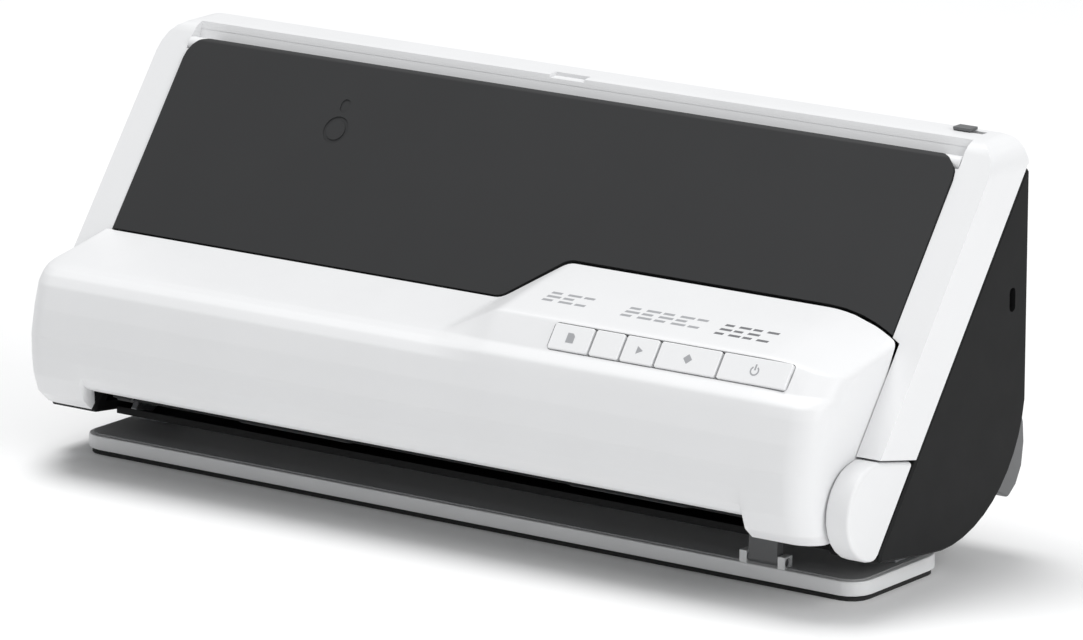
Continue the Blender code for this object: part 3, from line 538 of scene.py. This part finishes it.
def key_sign_outlines(x, s):
    """Plain generic signs: a sheet, none, an arrow, a diamond, and a ring with a bar."""
    ring = arc((x, s), 1.5, 125, 415, 24) + arc((x, s), 1.05, 415, 125, 24)
    sheet = [(x - 1.3, s - 1.5), (x + 1.3, s - 1.5)]
    sheet += [(x + 1.3, s + 0.7), (x + 0.5, s + 1.5), (x - 1.3, s + 1.5)]
    return [
        [sheet],
        [],
        [[(x - 0.9, s - 1.2), (x + 1.2, s), (x - 0.9, s + 1.2)]],
        [[(x - 1.5, s), (x, s - 1.5), (x + 1.5, s), (x, s + 1.5)]],
        [ring, [(x - 0.25, s + 0.2), (x + 0.25, s + 0.2), (x + 0.25, s + 2.0), (x - 0.25, s + 2.0)]],
    ]


def make_key_sign(i, x, s):
    outlines = key_sign_outlines(x, s)[i]
    if not outlines:
        return
    bm = bmesh.new()
    for outline in outlines:
        slope_slab(bm, outline, BUTTON_FACE_H + KEY_LIFT - 0.02, BUTTON_FACE_H + KEY_LIFT + 0.04)
    piece("key_sign_%d" % (i + 1), bm, "print_grey", "button_%d" % (i + 1))


def panel_point(x, t, lift):
    """Point on the raised panel's top; t runs from its rear edge, 0, to its front edge, 1."""
    y, z = mix(PANEL_REAR, PANEL_FRONT, t)
    run = Vector(PANEL_FRONT) - Vector(PANEL_REAR)
    normal = Vector((run.y, -run.x)).normalized()
    return metres(x, y + normal.x * lift, z + normal.y * lift)


def print_bar(bm, x0, x1, t0, t1):
    """A thin printed bar on the raised panel's top."""
    corners = ((x0, t0), (x1, t0), (x1, t1), (x0, t1))
    low = [bm.verts.new(panel_point(x, t, -0.05)) for x, t in corners]
    high = [bm.verts.new(panel_point(x, t, 0.03)) for x, t in corners]
    bm.faces.new(low[::-1])
    bm.faces.new(high)
    for i in range(4):
        j = (i + 1) % 4
        bm.faces.new([low[i], low[j], high[j], high[i]])


def make_labels():
    """Grey bars where the key labels are: (ink, x start, x end, rows, bars in a row)."""
    blocks = {
        "panel_print_left": ("print_grey", 33, 50, (0.28, 0.42, 0.56), 3),
        "panel_print_middle": ("print_grey", 61, 90, (0.34, 0.48, 0.62), 5),
        "panel_print_right": ("print_dark", 94, 113, (0.36, 0.52, 0.68), 4),
    }
    for name, (ink, x0, x1, rows, bars) in blocks.items():
        bm = bmesh.new()
        step = (x1 - x0) / bars
        for row, t in enumerate(rows):
            for i in range(bars - row % 2):
                start = x0 + step * i
                print_bar(bm, start, start + step * (0.62 + 0.2 * ((i + row) % 2)), t, t + 0.07)
        piece(name, bm, ink, "front_cover_unit")


# ---- tray ----
def make_tray():
    """Tray cover with rounded edges, a sunk sign and white barrels on its hinge line."""
    bm = cad_copy("tray_cover")
    corners = (5.9, 24.1)

    def ramp_corner(edge):
        """Whether the edge runs through the tray at one of the ramp's two corners."""
        a, b = (v.co for v in edge.verts)
        along = (b - a).normalized()
        upright = abs(along.dot(Vector((0, -math.sin(SLOPE), math.cos(SLOPE))))) > 0.99
        return upright and any(abs(a.x / MM - x) < 0.8 for x in corners)
    round_edges(bm, 2.0, 5, 20, chosen=ramp_corner)
    round_edges(bm, 0.6, 3, 40)
    tray = piece("tray_cover_moulding", bm, "tray_grey", "tray")
    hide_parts("tray_cover")
    sign = bmesh.new()
    x, s = TRAY_SIGN
    ring_groove(sign, x, s, outer=4.4, inner=3.2, depth=0.3)
    slope_slab(sign, rounded_box(x - 1.6, x + 1.6, s + 5.8, s + 10.1, 1.5), -0.3, 1)
    cut(tray, sign)
    for side, word in ((-1, "left"), (1, "right")):
        make_tray_barrel(side, word)


def make_tray_barrel(side, word):
    """White barrel round the hinge pin that fills the groove beside the tray's rounded corner."""
    bm = bmesh.new()
    prism(bm, arc(slope(*TRAY_PIVOT), 2.15, 0, 345, 23), 130 * side, 138.1 * side)
    piece("tray_barrel_" + word, bm, "white_shell", "tray")


def ring_groove(bm, x, s, outer, inner, depth, steps=32):
    """A flat ring set depth into the slope plane, as a solid for cutting."""
    rings = []
    for r, h in ((inner, -depth), (outer, -depth), (outer, 1), (inner, 1)):
        points = arc((x, s), r, 0, 360 - 360 / steps, steps - 1)
        rings.append([bm.verts.new(metres(px, *slope(ps, h))) for px, ps in points])
    for a, b in zip(rings, rings[1:] + rings[:1]):
        for i in range(steps):
            j = (i + 1) % steps
            bm.faces.new([a[i], a[j], b[j], b[i]])


# ---- carried over pieces ----
# rounding of the edges in millimetres and its number of segments
EDGE_WIDTHS = {
    "upper_frame": (0.7, 3),
    "side_panel_left": (0.5, 3),
    "side_panel_right": (0.5, 3),
    "rear_housing": (0.4, 2),
    "rear_rest_bar": (0.9, 3),
    "hinge_cap_left": (0.3, 2),
    "hinge_cap_right": (0.3, 2),
    "stand_plate": (0.5, 3),
    "rubber_base_ring": (0.3, 2),
    "position_lever": (0.35, 2),
}


def make_carried_over():
    done = {"front_cover", "tray_cover"} | {n for n in frame["nodes"] if n.startswith("panel_button")}
    for node in sorted(set(frame["nodes"]) - done):
        width, segments = EDGE_WIDTHS.get(node, (0.12, 1))
        refined(node, width, segments)


def make_stand_shade_inlay():
    """Darker grey sheet on top of the stand, inside its lighter rim: painted shade of the body above it."""
    low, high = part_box("stand_plate")
    x = high.x / MM - STAND_RIM
    depth = (high.y - low.y) / MM
    bm = bmesh.new()
    outline = rounded_box(-x, x, STAND_RIM, depth - STAND_RIM, 5.4)
    face = bm.faces.new([bm.verts.new(metres(px, py, STAND_TOP - 0.5)) for px, py in outline])
    extrude(bm, face, Vector((0, 0, 0.7 * MM)))
    # the darker grey of this sheet is painted shade under the body, not a different colour of the stand
    piece("stand_top_painted_shade", bm, "stand_painted_shade", "stand")


# ---- stage ----
def make_floor():
    half = FLOOR_HALF * MM
    bm = bmesh.new()
    bm.faces.new([bm.verts.new((x * half, y * half, 0)) for x, y in ((-1, -1), (1, -1), (1, 1), (-1, 1))])
    floor = piece("floor", bm, "floor", None)


def add_light(name, place, target, size, power):
    """A round lamp at place, turned to target, in metres and watts."""
    data = bpy.data.lights.new(name, "AREA")
    data.shape = "DISK"
    data.size = size
    data.energy = power
    lamp = bpy.data.objects.new(name, data)
    lamp.location = place
    lamp.rotation_euler = (Vector(target) - Vector(place)).to_track_quat("-Z", "Y").to_euler()
    bpy.context.scene.collection.objects.link(lamp)


def make_studio():
    """White surroundings, a large lamp overhead and a weaker one from the right."""
    world = bpy.data.worlds.new("studio")
    world.use_nodes = True
    background = world.node_tree.nodes["Background"]
    background.inputs["Color"].default_value = (0.98, 0.99, 1, 1)
    background.inputs["Strength"].default_value = 0.45
    bpy.context.scene.world = world
    add_light("overhead", place=(-0.55, 0.1, 2.4), target=(0, 0.1, 0), size=1.5, power=39)
    add_light("right_side", place=(1.4, -0.3, 0.8), target=(0.1, 0, 0.06), size=0.9, power=10)
    bpy.context.scene.view_settings.view_transform = "Standard"


def make_camera():
    data = bpy.data.cameras.new("camera")
    camera = bpy.data.objects.new("camera", data)
    camera.location = (1.29321, -1.74665, 0.59976)
    camera.rotation_euler = (math.radians(90 - 14.03), 0, math.radians(36.07))
    data.sensor_width = 36
    data.lens = 257.5
    data.shift_x = -0.0203
    data.shift_y = -0.0014
    data.clip_end = 20
    bpy.context.scene.collection.objects.link(camera)
    bpy.context.scene.camera = camera


make_camera()
MATERIALS = make_materials()
make_front_cover()
make_keys()
make_labels()
make_tray()
make_carried_over()
make_stand_shade_inlay()
make_floor()
make_studio()
